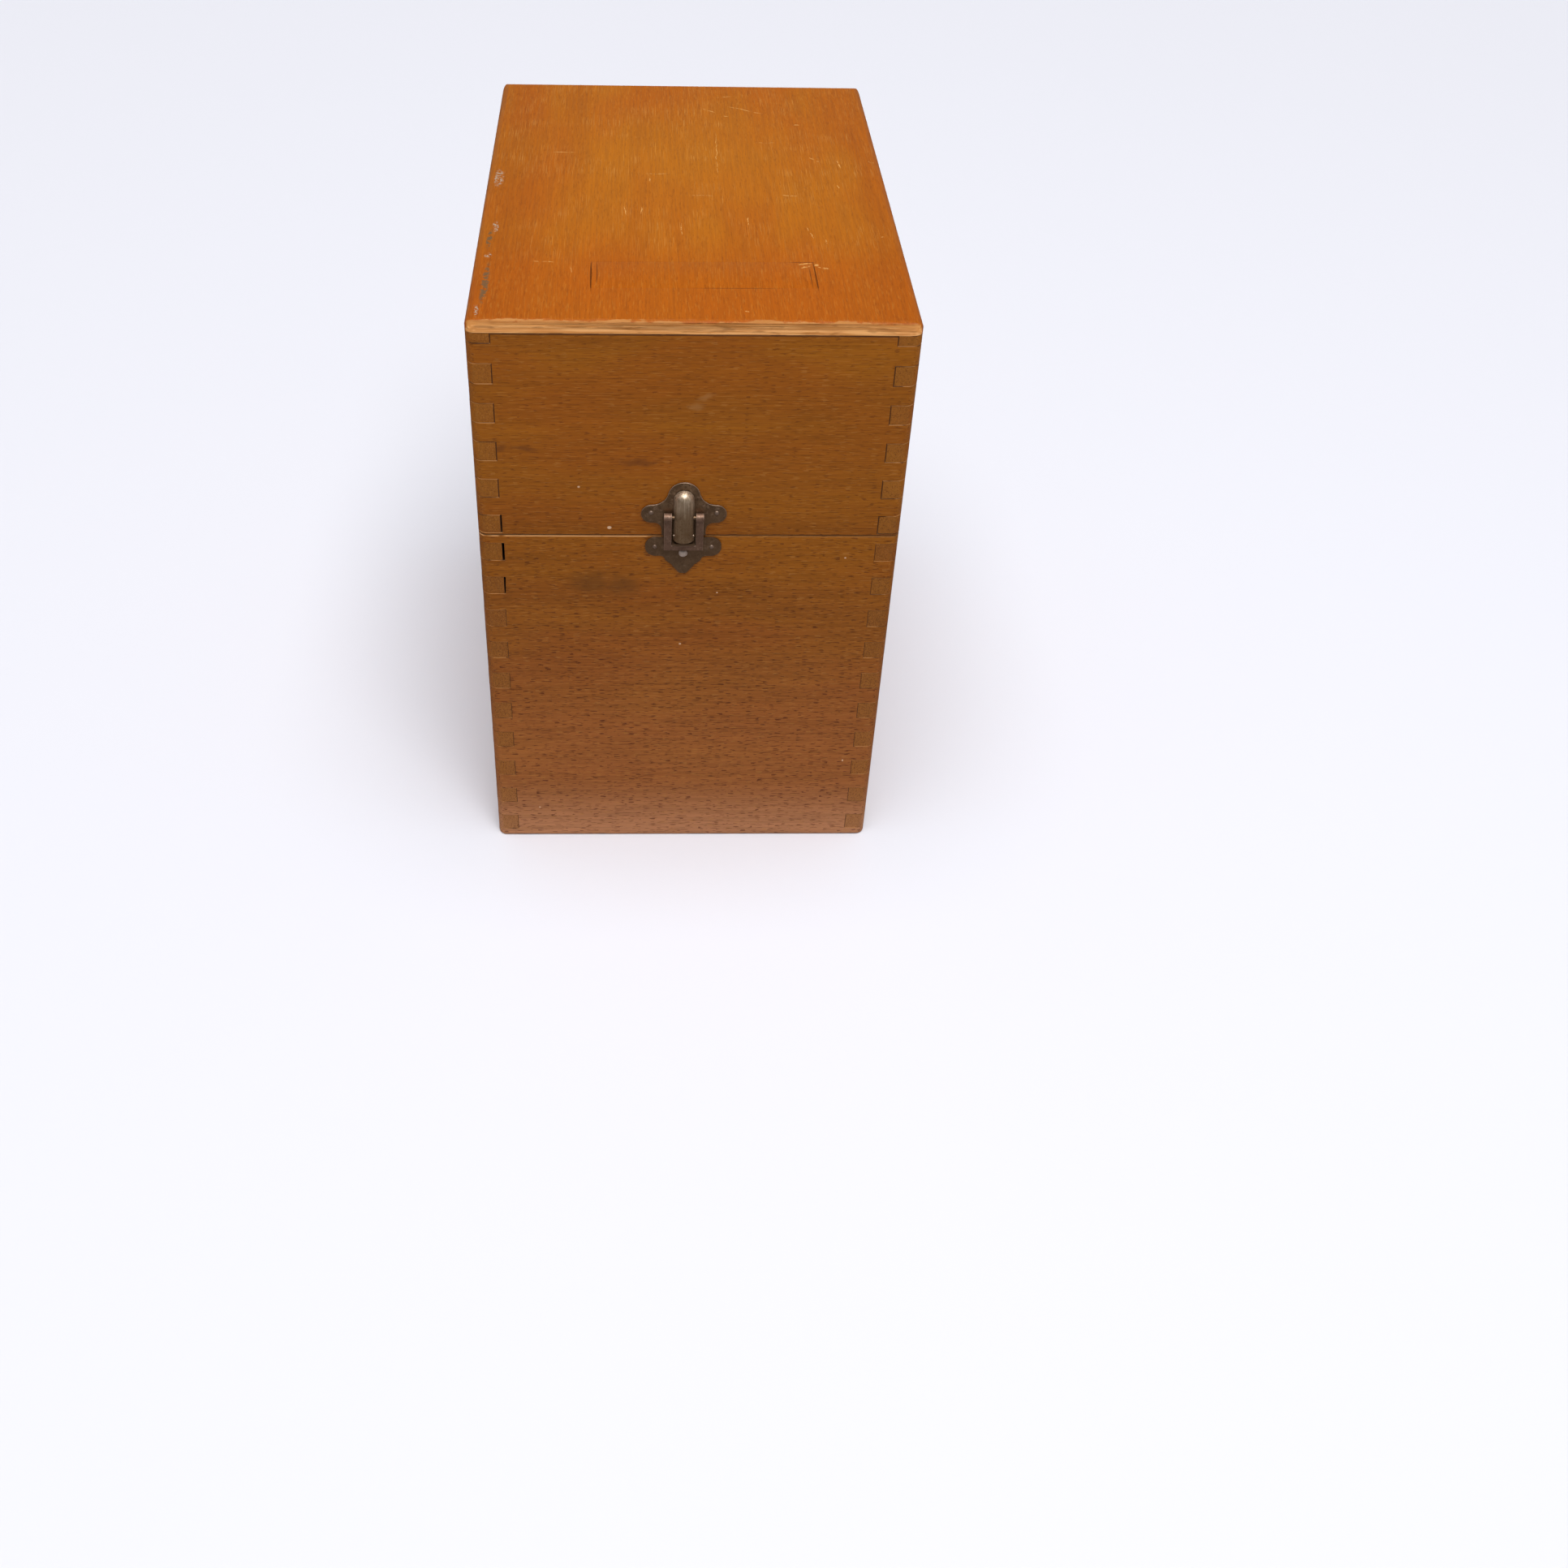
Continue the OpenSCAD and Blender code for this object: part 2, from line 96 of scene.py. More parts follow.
class Look:
    """One material under construction. Its methods add nodes and return an output socket.

    x, y and z are the place on the part in millimetres, nx, ny and nz the way the face looks, and
    edge is 1 on the edges that round_edges() rounded, and FOOT_MARK on those along the foot."""

    def __init__(self, name):
        self.material = bpy.data.materials.new(name)
        self.material.use_nodes = True
        self.tree = self.material.node_tree
        self.shader = self.tree.nodes["Principled BSDF"]
        source = self.node("TexCoord").outputs
        self.position = self.vector("SCALE", source["Object"], Scale=1 / MM)
        self.x, self.y, self.z = self.node("SeparateXYZ", {0: self.position}).outputs
        self.nx, self.ny, self.nz = self.node("SeparateXYZ", {0: source["Normal"]}).outputs
        self.edge = self.node("Attribute", attribute_name="edge").outputs["Fac"]

    def node(self, kind, inputs=None, **settings):
        return add_node(self.tree, kind, inputs, **settings)

    def vector(self, operation, a, b=None, **inputs):
        sockets = {0: a, **({} if b is None else {1: b}), **inputs}
        return self.node("VectorMath", sockets, operation=operation).outputs["Vector"]

    def combine(self, x, y, z):
        return self.node("CombineXYZ", {0: x, 1: y, 2: z}).outputs["Vector"]

    def calc(self, operation, a, b=0.0):
        return self.node("Math", {0: a, 1: b}, operation=operation).outputs[0]

    def product(self, first, *others):
        for other in others:
            first = self.calc("MULTIPLY", first, other)
        return first

    def highest(self, values):
        first, *others = values
        for other in others:
            first = self.calc("MAXIMUM", first, other)
        return first

    def more(self, value, limit):
        """1 where value is above the limit, otherwise 0."""
        return self.calc("GREATER_THAN", value, limit)

    def less(self, value, limit):
        """1 where value is below the limit, otherwise 0."""
        return self.calc("LESS_THAN", value, limit)

    def absolute(self, value):
        return self.calc("ABSOLUTE", value)

    def step(self, value, low, high, to_low=0.0, to_high=1.0):
        """Maps low..high onto to_low..to_high with smooth ends. low may lie above high."""
        if low > high:
            low, high, to_low, to_high = high, low, to_high, to_low
        inputs = {"Value": value, "From Min": low, "From Max": high, "To Min": to_low, "To Max": to_high}
        return self.node("MapRange", inputs, interpolation_type="SMOOTHSTEP").outputs["Result"]

    def noise(self, vector, long, wide, seed, detail=1.0):
        """Noise whose features are long by wide millimetres, with the long way along local x."""
        inputs = {
            "Vector": vector,
            "Location": (seed * 13.7, seed * 7.3, seed * 3.1),
            "Scale": (1 / long, 1 / wide, 1 / wide),
        }
        stretched = self.node("Mapping", inputs).outputs["Vector"]
        inputs = {"Vector": stretched, "Scale": 1.0, "Detail": detail, "Roughness": 0.55}
        return self.node("TexNoise", inputs).outputs["Fac"]

    def bend(self, vector, size, amount, seed=0.0):
        """Moves the coordinates a little at random, so that drawn marks don't look drawn."""
        inputs = {"Vector": vector, "Scale": 1 / size, "Detail": 2.0, "W": seed}
        wobble = self.node("TexNoise", inputs, noise_dimensions="4D").outputs["Color"]
        centred = self.vector("SUBTRACT", wobble, (0.5, 0.5, 0.5))
        return self.vector("ADD", vector, self.vector("SCALE", centred, Scale=amount))

    def bend_of_x(self, size, amount):
        """x with its lines of equal value made wavy."""
        return self.node("SeparateXYZ", {0: self.bend(self.position, size, amount, 6)}).outputs["X"]

    def spot(self, plane, x, y, half_long, half_wide, turn=0.0, hardness=0.35):
        """A long or round mark on a flat face: 1 along its middle, falling to 0 at its edge."""
        inputs = {
            "Vector": plane,
            "Location": (x, y, 0),
            "Rotation": (0, 0, math.radians(turn)),
            "Scale": (half_long, half_wide, 1e6),
        }
        local = self.node("Mapping", inputs, vector_type="TEXTURE").outputs["Vector"]
        fall = self.node("TexGradient", {"Vector": local}, gradient_type="SPHERICAL").outputs["Fac"]
        return self.step(fall, 0, hardness)

    def spots(self, plane, marks, *hardness):
        """Several marks, each given by its place, half sizes and turn."""
        return self.highest([self.spot(plane, *mark, *hardness) for mark in marks])

    def mix(self, factor, a, b, mode="MIX"):
        return mix_colour(self.tree, factor, a, b, mode)

    def grey(self, value):
        return self.node("CombineColor", {0: value, 1: value, 2: value}).outputs["Color"]

    def finish(self, colour, height, depth, roughness, specular, metal=0.0):
        """Joins colour, bump and gloss to the shader; depth is the bump's height in millimetres."""
        bump = self.node("Bump", {"Height": height, "Strength": 0.6, "Distance": depth * MM})
        for name, value in {
            "Base Color": colour, "Normal": bump.outputs["Normal"], "Roughness": roughness
        }.items():
            self.tree.links.new(value, self.shader.inputs[name])
        self.shader.inputs["Specular IOR Level"].default_value = specular
        self.shader.inputs["Metallic"].default_value = metal
        return self.material


# ---- Camera, floor and light ----
def make_camera():
    """High in front of the box, a little left of its middle."""
    data = bpy.data.cameras.new("camera")
    data.lens = 38.46
    data.shift_x = 0.060
    data.shift_y = -0.0859
    camera = bpy.data.objects.new("camera", data)
    heading = Matrix.Rotation(math.radians(-2.39), 4, "Z")
    tilt = Matrix.Rotation(math.radians(90 - 38.91), 4, "X")
    roll = Matrix.Rotation(math.radians(1.57), 4, "Z")
    camera.matrix_world = Matrix.Translation((-0.0256, -0.7910, 0.6564)) @ heading @ tilt @ roll
    bpy.context.scene.collection.objects.link(camera)
    bpy.context.scene.camera = camera


def make_floor():
    half = 4.0
    corners = [(-half, -half, 0), (half, -half, 0), (half, half, 0), (-half, half, 0)]
    mesh = bpy.data.meshes.new("floor")
    mesh.from_pydata(corners, [], [(0, 1, 2, 3)])
    material = bpy.data.materials.new("floor_paper")
    material.use_nodes = True
    shader = material.node_tree.nodes["Principled BSDF"]
    shader.inputs["Base Color"].default_value = (0.82, 0.825, 0.885, 1)
    shader.inputs["Roughness"].default_value = 0.9
    shader.inputs["Specular IOR Level"].default_value = 0.1
    mesh.materials.append(material)
    floor = bpy.data.objects.new("floor", mesh)
    floor.location.z = -0.05 * MM
    floor.visible_glossy = False
    bpy.context.scene.collection.objects.link(floor)


def make_light(name, kind, energy, place, aim, **settings):
    data = bpy.data.lights.new(name, kind)
    data.energy = energy
    for key, value in settings.items():
        setattr(data, key, value)
    light = bpy.data.objects.new(name, data)
    light.location = place
    light.rotation_euler = (Vector(aim) - Vector(place)).to_track_quat("-Z", "Y").to_euler()
    bpy.context.scene.collection.objects.link(light)


def make_lights():
    """A broad soft light overhead and a dim room, which shows pale behind the object."""
    make_light("overhead", "SUN", 2.50, (0.02, -0.40, 2.2), (0, 0, 0.1), angle=math.radians(50))
    make_light("softbox", "AREA", 5.0, (0.20, -0.75, 1.5), (0, 0, 0.25), shape="DISK", size=0.5)
    world = bpy.data.worlds.new("room")
    bpy.context.scene.world = world
    world.use_nodes = True
    tree = world.node_tree
    way = add_node(tree, "TexCoord").outputs["Generated"]
    height = add_node(tree, "SeparateXYZ", {0: way}).outputs["Z"]
    inputs = {"Value": height, "From Min": -0.1, "From Max": 0.3}
    above = add_node(tree, "MapRange", inputs).outputs["Result"]
    room = mix_colour(tree, above, (0.22, 0.19, 0.17), (0.22, 0.22, 0.23))
    seen = add_node(tree, "LightPath").outputs["Is Camera Ray"]
    backdrop = (0.80, 0.80, 0.82)
    colour = mix_colour(tree, seen, room, backdrop)
    tree.links.new(colour, tree.nodes["Background"].inputs["Color"])
    bpy.context.scene.view_settings.view_transform = "Standard"


# ---- Wood ----
class Wood(Look):
    """Beech. grain is the position with the way of the grain first."""

    def __init__(self, name, along_y, seed):
        super().__init__(name)
        self.seed = seed
        self.grain = self.combine(self.y, self.x, self.z) if along_y else self.position
        self.end_grain = self.step(self.absolute(self.ny if along_y else self.nx), 0.80, 0.97)

    def figure(self, colour, contrast):
        """Fine light and dark streaks along the grain, over a colour. Returns it and the streaks."""
        streak = self.noise(self.grain, 34, 1.1, self.seed + 2, 2)
        hair = self.noise(self.grain, 9, 0.38, self.seed + 3)
        shade = self.calc(
            "ADD",
            self.step(streak, 0.28, 0.72, 1 - 0.20 * contrast, 1 + 0.16 * contrast),
            self.step(hair, 0.25, 0.75, -0.12 * contrast, 0.12 * contrast),
        )
        return self.mix(1.0, colour, self.grey(shade), "MULTIPLY"), streak

    def flecks(self, long, wide, seed, least, soft=0.07):
        """Short dashes along the grain; least is the noise level where they start."""
        return self.step(self.noise(self.grain, long, wide, self.seed + seed, 0), least, least + soft)

    def broad(self, a, b, c):
        """Broad bands between colours a and b, with patches of c."""
        band = self.step(self.noise(self.grain, 420, 17, self.seed, 2), 0.34, 0.66)
        patch = self.step(self.noise(self.grain, 90, 34, self.seed + 1), 0.40, 0.64)
        return self.mix(self.product(patch, 0.6), self.mix(band, b, a), c)


# Colours, as linear red, green and blue. Those named TINT are multiplied with what is under them.
BARE_BEECH = (0.430, 0.235, 0.095), (0.520, 0.310, 0.140)
WALL_TONES = (0.330, 0.104, 0.002), (0.276, 0.083, 0.002), (0.295, 0.078, 0.002)
# Painted reflection of the pale floor, low on the walls and near the foot
WALL_LOW_FLOOR_REFLECTION = (0.322, 0.107, 0.029)
WALL_FOOT_FLOOR_REFLECTION = (0.520, 0.240, 0.115)
WALL_END_GRAIN = (0.270, 0.105, 0.016)
# Painted shade across the upper half of the base
SHADE_BELT_TINT = (0.84, 0.82, 0.90)
PORE_TINT = (0.36, 0.28, 0.32)
RAY = (0.500, 0.215, 0.045)
RUBBED = (0.640, 0.290, 0.090)
# Rubbed wear with a painted highlight, on the rim below the seam
RIM_WEAR_AND_HIGHLIGHT = (0.780, 0.400, 0.150)
# Dark grime on the rounded edges, also used as painted shadow under the top panel
GRIME_AND_SHADE = (0.070, 0.025, 0.007)
# Painted shade inside the finger joints that have opened
JOINT_GAP_SHADE = (0.018, 0.008, 0.004)
STAIN = (0.150, 0.050, 0.005)
DARK_STREAK = (0.120, 0.034, 0.006)
SMEAR = (0.480, 0.270, 0.100)
SPECK = (0.700, 0.460, 0.270)
TOP_TONES = (0.432, 0.128, 0.004), (0.385, 0.105, 0.003), (0.405, 0.095, 0.003)
TOP_MIDDLE = (0.440, 0.145, 0.005)
TOP_FRONT = (0.400, 0.088, 0.002)
FLANK_TINT = (0.91, 0.89, 0.95)
PALE_FLECK = (0.640, 0.300, 0.050)
DARK_FLECK_TINT = (0.45, 0.35, 0.40)
HAIRLINE = (0.700, 0.340, 0.080)
SCRATCHED = (0.760, 0.390, 0.115)
LIFTED_JOINT = (0.130, 0.032, 0.003)
DARK_SCUFF = (0.130, 0.090, 0.045)
PALE_SCUFF = (0.440, 0.370, 0.280)
WORN_EDGE = (0.690, 0.290, 0.078), (0.940, 0.480, 0.170)
WORN_EDGE_BLOTCH = (0.260, 0.095, 0.022)
WORN_EDGE_ABOVE = (0.400, 0.158, 0.032)
THINLY_RUBBED = (0.400, 0.190, 0.060)
TOP_GRIME = (0.120, 0.040, 0.010)
PLY_TONES = (0.520, 0.330, 0.165), (0.450, 0.270, 0.125), (0.480, 0.290, 0.120)
PLY_PORE_TINT = (0.45, 0.40, 0.40)
DUST = (0.300, 0.210, 0.120)


def bare_wood(look, colour, mask):
    """Unstained beech where mask is 1: inside the box and on the sawn rims."""
    tone = look.step(look.noise(look.grain, 120, 22, look.seed + 6), 0.35, 0.65)
    return look.mix(mask, colour, look.mix(tone, *BARE_BEECH))


def off_seam(look, distance):
    """1 where the place is further than distance above or below the seam, otherwise 0."""
    return look.more(look.absolute(look.calc("SUBTRACT", look.z, SEAM_Z)), distance)


def inside_joint(look):
    """1 on the glued faces of the finger joints, which show only where a joint has opened."""
    x, y, nx, ny, nz = (look.absolute(value) for value in (look.x, look.y, look.nx, look.ny, look.nz))
    off_ends = look.product(look.more(look.z, 1.5), look.less(look.z, WALL_TOP - 0.2))
    at_corner = look.product(look.more(x, SIDE_X - BOARD - 2), look.more(y, BACK_Y - BOARD - 0.05))
    sideways = look.product(look.more(nx, 0.9), look.less(x, SIDE_X - NEAR))
    endways = look.product(
        look.more(ny, 0.9), look.less(y, BACK_Y - NEAR), look.more(x, SIDE_X - BOARD + 0.05)
    )
    faces = look.highest([sideways, endways, look.more(nz, 0.9)])
    flat = look.calc("SUBTRACT", 1.0, look.edge)
    return look.product(faces, at_corner, off_seam(look, 0.8), off_ends, flat)


def wall_look(name, side, seed, marks=None):
    """Brown stained beech, satin varnished, on one of the eight wall boards."""
    look = Wood(name, side in ("left", "right"), seed)
    inward = {"front": (look.ny, 1), "back": (look.ny, -1), "left": (look.nx, 1), "right": (look.nx, -1)}
    axis, sign = inward[side]
    inside = look.step(look.product(axis, sign), 0.55, 0.85)
    rim = look.step(look.absolute(look.nz), 0.75, 0.95)
    bare = look.calc("MAXIMUM", inside, look.product(rim, 0.8))
    stained = look.calc("SUBTRACT", 1.0, bare)

    colour = look.broad(*WALL_TONES)
    # Painted reflection of the pale floor: the stained wood paler and greyer towards the bottom, palest near
    # the foot
    colour = look.mix(look.product(look.step(look.z, 200, 20), stained, 0.75), colour, WALL_LOW_FLOOR_REFLECTION)
    colour = look.mix(look.product(look.step(look.z, 46, -5), stained, 0.75), colour, WALL_FOOT_FLOOR_REFLECTION)
    colour = look.mix(look.product(look.end_grain, stained, 0.45), colour, WALL_END_GRAIN)
    # Painted shade: a darker belt across the upper half of the base
    shade_belt = look.product(look.step(look.z, 50, 150), look.step(look.z, 230, 195), stained, 0.9)
    colour = look.mix(shade_belt, colour, SHADE_BELT_TINT, "MULTIPLY")
    colour = bare_wood(look, colour, bare)
    colour, streak = look.figure(colour, 0.6)
    # Pores and rays: denser and darker low down
    pores = look.product(look.flecks(3.8, 0.50, 4, 0.650, 0.04), look.step(look.z, 280, 60, 0.45, 0.85))
    colour = look.mix(pores, colour, PORE_TINT, "MULTIPLY")
    colour = look.mix(look.product(look.flecks(5.0, 0.6, 5, 0.665, 0.04), 0.22), colour, RAY)
    if marks:
        colour = marks(look, colour)
    # Rounded edges: grime in some places, and the level ones rubbed bare in others
    level = look.product(look.step(look.absolute(look.nz), 0.25, 0.45), off_seam(look, 0.9))
    rubbed = look.product(look.step(look.noise(look.position, 9, 9, seed + 8, 2), 0.40, 0.52), level)
    colour = look.mix(look.product(look.edge, 0.85), colour, look.mix(rubbed, GRIME_AND_SHADE, RUBBED))
    if side == "front":
        # The rim below the seam is painted pale left of the catch: rubbed wear, with a painted highlight
        # along its edge
        rim_low = look.step(look.z, SEAM_Z - 0.95, SEAM_Z - 0.8)
        rim_high = look.step(look.z, SEAM_Z - 0.24, SEAM_Z - 0.36)
        rim_patches = look.step(look.noise(look.position, 7, 7, seed + 9, 2), 0.30, 0.45)
        rim_wear_and_highlight = look.product(rim_low, rim_high, rim_patches, look.step(look.x, 0, -22, 0.12, 0.85))
        colour = look.mix(rim_wear_and_highlight, colour, RIM_WEAR_AND_HIGHLIGHT)
        # Painted shadow: a dark line along the top of the front, under the edge of the top panel
        shadow_under_top = look.product(look.step(look.z, WALL_TOP - 1.0, WALL_TOP - 0.4), stained, 0.75)
        colour = look.mix(shadow_under_top, colour, GRIME_AND_SHADE)
    # Painted shade: the glued faces inside the opened joints are painted near black
    colour = look.mix(inside_joint(look), colour, JOINT_GAP_SHADE)
    height = look.calc("SUBTRACT", look.product(streak, 0.35), pores)
    rough = look.calc("ADD", look.step(streak, 0.3, 0.7, 0.36, 0.46), look.product(bare, 0.25))
    return look.finish(colour, height, 0.10, rough, 0.14)


# Marks: middle, half length, half width, turn in degrees. On the front the place is x and z.
STAIN_SPOTS = [(-47, 172, 15, 10, 0), (-32, 170, 13, 10, 0)]
STREAK_SPOTS = [(-24, 241, 13, 2.4, 2), (-76, 247, 9, 2.0, -3), (-88, 249, 6, 2.4, 0)]
SMEAR_SPOTS = [(1, 270, 6, 3.0, 10), (6, 274.5, 7, 2.2, 12)]
SPECKS = [
    (-38, 204.2, 1.2, 1.0), (-52, 227, 0.7, 0.6), (-3.5, 134, 0.7, 0.6), (75, 187, 0.6, 0.5),
    (-77, 21, 0.6, 0.5), (84, 55, 0.5, 0.9), (14, 166, 0.5, 0.5),
]


def front_marks(look, colour):
    """Stain left of the catch, dark streaks, white specks and a pale smear on the front."""
    front = look.step(look.ny, -0.5, -0.9)
    plane = look.combine(look.x, look.z, 0.0)
    bent = look.bend(plane, 9, 9)
    colour = look.mix(look.product(look.spots(bent, STAIN_SPOTS, 0.9), front, 0.70), colour, STAIN)
    colour = look.mix(look.product(look.spots(bent, STREAK_SPOTS, 0.8), front, 0.50), colour, DARK_STREAK)
    colour = look.mix(look.product(look.spots(bent, SMEAR_SPOTS, 0.9), front, 0.20), colour, SMEAR)
    specks = look.highest([look.spot(plane, *mark, hardness=0.4) for mark in SPECKS])
    return look.mix(look.product(specks, front, 0.8), colour, SPECK)


# On the top the place is x and y
SCRATCHES = [
    (34, 103, 12, 0.55, -29), (14, 102, 5, 0.6, -42), (23, 94, 1.6, 0.6, -18), (23, 122, 5, 0.5, 16),
    (-27, 65, 3.4, 0.6, -46), (-63, 43, 7, 0.45, -2), (42, 58, 6, 0.4, 2), (60, 83, 1.9, 0.6, 2),
    (65, 38, 1.9, 0.7, -46), (68, 34, 2.0, 0.7, -27), (78, 31, 5.5, 0.6, -83), (95, 34, 2.0, 0.9, -24),
    (-14, 17, 10, 0.35, 1), (8, -9, 12, 0.35, -4), (50, -8, 5, 0.5, -7), (57, -50, 7, 0.55, -79),
    (64, -60, 3.2, 0.6, -78), (-68, -83, 5.5, 0.55, -4), (75, 3, 2.0, 0.5, -80), (16, 42, 34, 0.3, -91),
    (-31, -27, 5.5, 0.45, -88), (-23, -27, 5.0, 0.4, -89), (-19, 12, 6, 0.45, -83), (23, -130, 1.2, 0.7, -21),
    (91, -54, 0.9, 0.8, 0), (-55, -90, 4, 0.5, -86), (28, -38, 5, 0.4, -88), (-4, -47, 8, 0.35, -90),
]
PATCH_CHIPS = [
    (52, -83, 4.0, 0.9, 13), (52, -86, 3.0, 0.9, 24), (60, -87, 3.6, 0.9, -21), (57, -84, 1.8, 1.2, 60),
]
# Lines along the patch, placed from its middle
PATCH_LINES = [
    (-48.2, 2, 0.35, 13), (48.6, -3, 0.3, 13), (-51, -1, 0.50, 18), (51, -1, 0.50, 18),
    (14, -13, 26, 0.32), (46, 13, 8, 0.35),
]
# Worn places near the left edge
PALE_SCUFFS = [
    (-94, 10, 13, 3.0, 91), (-92, -47, 8, 1.6, 90), (-93.5, -77, 3, 1.6, 90), (-95, -131, 7, 1.3, 94),
]
DARK_SCUFFS = [(-94, -60, 12, 1.6, 90), (-93, -105, 24, 2.0, 89)]


def top_scratches(look, plane, upward):
    """Scratches and chips, broken up along their length."""
    wavy = look.bend(plane, 5, 2.4, 3)
    gaps = look.step(look.noise(plane, 0.9, 0.9, 7), 0.34, 0.50)
    broken = look.product(gaps, look.step(look.noise(plane, 5, 5, 8, 2), 0.36, 0.50))
    thinned = [(x, y, long, 0.72 * wide, turn) for x, y, long, wide, turn in SCRATCHES]
    marks = look.calc("MAXIMUM", look.spots(wavy, thinned), look.spots(wavy, PATCH_CHIPS, 0.6))
    return look.product(marks, broken, upward)


def patch_lines(look, plane):
    """The patch's joint has lifted a little: faint lines in front of it and inside its two ends."""
    inputs = {
        "Vector": plane,
        "Location": (*PATCH_MIDDLE.xy, 0),
        "Rotation": (0, 0, math.radians(PATCH_TURN)),
    }
    square = look.node("Mapping", inputs, vector_type="TEXTURE").outputs["Vector"]
    return look.highest([look.spot(square, *mark, hardness=0.5) for mark in PATCH_LINES])


def worn_front_edge(look):
    """The front edge rubbed down to bare wood, with flakes running onto the top: mask and colour."""
    ragged = look.step(look.noise(look.position, 9, 4, 17, 3), 0.35, 0.70, 0.0, 1.8)
    over_edge = look.calc("SUBTRACT", look.calc("ADD", ragged, FRONT_Y + 0.9), look.y)
    stripes = look.step(look.noise(look.position, 22, 0.9, 19, 2), 0.35, 0.65)
    colour = look.mix(stripes, *WORN_EDGE)
    blotch = look.step(look.noise(look.position, 12, 2.2, 23, 2), 0.56, 0.68)
    colour = look.mix(look.product(blotch, 0.45), colour, WORN_EDGE_BLOTCH)
    colour = look.mix(look.product(look.step(look.nz, 0.15, 0.75), 0.75), colour, WORN_EDGE_ABOVE)
    return look.step(over_edge, -0.4, 0.4), colour


def top_look(name, seed):
    """Orange-brown stained veneer, scratched and rubbed through at the edges."""
    look = Wood(name, True, seed)
    plane = look.combine(look.x, look.y, 0.0)
    upward = look.step(look.nz, 0.55, 0.85)
    colour = look.broad(*TOP_TONES)
    middle = look.spot(look.bend(plane, 45, 50), 8, 35, 90, 110, 0, 1.0)
    colour = look.mix(look.product(middle, 0.7), colour, TOP_MIDDLE)
    colour = look.mix(look.product(look.step(look.y, -40, -100), 0.7), colour, TOP_FRONT)
    flanks = look.step(look.absolute(look.bend_of_x(25, 30)), 50, 92, 0.0, 0.8)
    colour = look.mix(flanks, colour, FLANK_TINT, "MULTIPLY")
    colour = bare_wood(look, colour, look.step(look.nz, -0.6, -0.9))
    colour, streak = look.figure(colour, 0.42)
    # Fine pale flecks, more of them towards the front and the back
    ends = look.step(look.absolute(look.y), 30, 130, 0.06, 0.14)
    colour = look.mix(look.product(look.flecks(5.0, 0.5, 4, 0.655, 0.04), ends), colour, PALE_FLECK)
    # Hairline rubs along the grain, most of them in the middle
    gathered = look.step(look.noise(plane, 30, 30, 12, 2), 0.42, 0.60)
    inner = look.step(look.y, -110, -40, 0.08, 0.30)
    hairlines = look.product(look.flecks(16, 0.30, 9, 0.64, 0.05), gathered, upward, inner)
    colour = look.mix(hairlines, colour, HAIRLINE)
    dark = look.product(look.flecks(4.0, 0.6, 5, 0.66, 0.04), 0.22)
    colour = look.mix(dark, colour, DARK_FLECK_TINT, "MULTIPLY")
    scratch = top_scratches(look, plane, upward)
    colour = look.mix(look.product(scratch, 0.72), colour, SCRATCHED)
    colour = look.mix(look.product(patch_lines(look, plane), upward, 0.80), colour, LIFTED_JOINT)
    # Rubbed strip along the left edge
    strip = look.bend(plane, 5, 3.0, 5)
    crumbs = look.step(look.noise(plane, 1.4, 1.4, 11, 2), 0.46, 0.60)
    clots = look.step(look.noise(plane, 2.2, 2.2, 13, 2), 0.42, 0.52)
    pale_scuff = look.product(look.spots(strip, PALE_SCUFFS, 0.5), crumbs)
    dark_scuff = look.product(look.spots(strip, DARK_SCUFFS, 0.5), clots)
    colour = look.mix(look.product(dark_scuff, 0.8), colour, DARK_SCUFF)
    colour = look.mix(look.product(pale_scuff, 0.8), colour, PALE_SCUFF)
    front_band, band_colour = worn_front_edge(look)
    colour = look.mix(look.product(front_band, 0.9), colour, band_colour)
    # The other three edges are only thinly rubbed
    outer = look.highest([
        look.step(look.absolute(look.x), SIDE_X - 2.0, SIDE_X), look.step(look.y, BACK_Y - 1.5, BACK_Y),
    ])
    rubbed = look.product(outer, look.step(look.noise(look.position, 6, 6, 29, 2), 0.42, 0.62), 0.55)
    colour = look.mix(rubbed, colour, THINLY_RUBBED)
    colour = look.mix(look.product(look.edge, 0.7), colour, TOP_GRIME)
    worn = look.highest([scratch, pale_scuff, dark_scuff, look.product(front_band, 0.5)])
    height = look.calc("SUBTRACT", look.product(streak, 0.25), worn)
    rough = look.calc("ADD", look.step(streak, 0.3, 0.7, 0.34, 0.44), look.product(worn, 0.25))
    return look.finish(colour, height, 0.12, rough, 0.10)


def plywood_look(name):
    """Bare plywood of the bottom panel."""
    look = Wood(name, True, 31)
    colour, streak = look.figure(look.broad(*PLY_TONES), 0.8)
    pores = look.product(look.flecks(5, 0.4, 4, 0.65), 0.5)
    colour = look.mix(pores, colour, PLY_PORE_TINT, "MULTIPLY")
    dust = look.step(look.noise(look.position, 40, 40, 3, 3), 0.45, 0.75)
    colour = look.mix(look.product(dust, 0.35), colour, DUST)
    rough = look.step(streak, 0.3, 0.7, 0.6, 0.75)
    return look.finish(colour, look.calc("SUBTRACT", streak, pores), 0.10, rough, 0.3)


